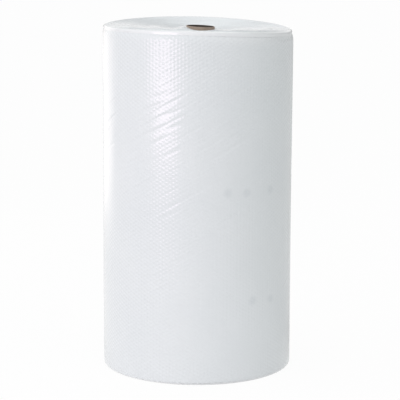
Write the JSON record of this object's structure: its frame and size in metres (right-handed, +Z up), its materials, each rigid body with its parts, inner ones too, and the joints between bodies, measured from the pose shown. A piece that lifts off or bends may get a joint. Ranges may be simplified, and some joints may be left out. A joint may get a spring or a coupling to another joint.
{
  "type": "air bubble film roll",
  "caption": "Large roll of translucent air bubble cushioning film wound on a paper core, standing upright on its end.",
  "frame": {"origin": "on the core's axis, level with the floor that the roll stands on", "axes": "+Z up along the core's axis, -Y towards the front of the roll, +X to its right"},
  "size_m": [0.5503, 0.5483, 1.0037],
  "materials": {
    "film": "translucent white polyethylene film with raised air bubbles, soft gloss",
    "core": "matt brown paperboard, wound in a spiral"
  },
  "bodies": {
    "root": {"wound_film": "film", "core_tube": "core"}
  },
  "joints": []
}
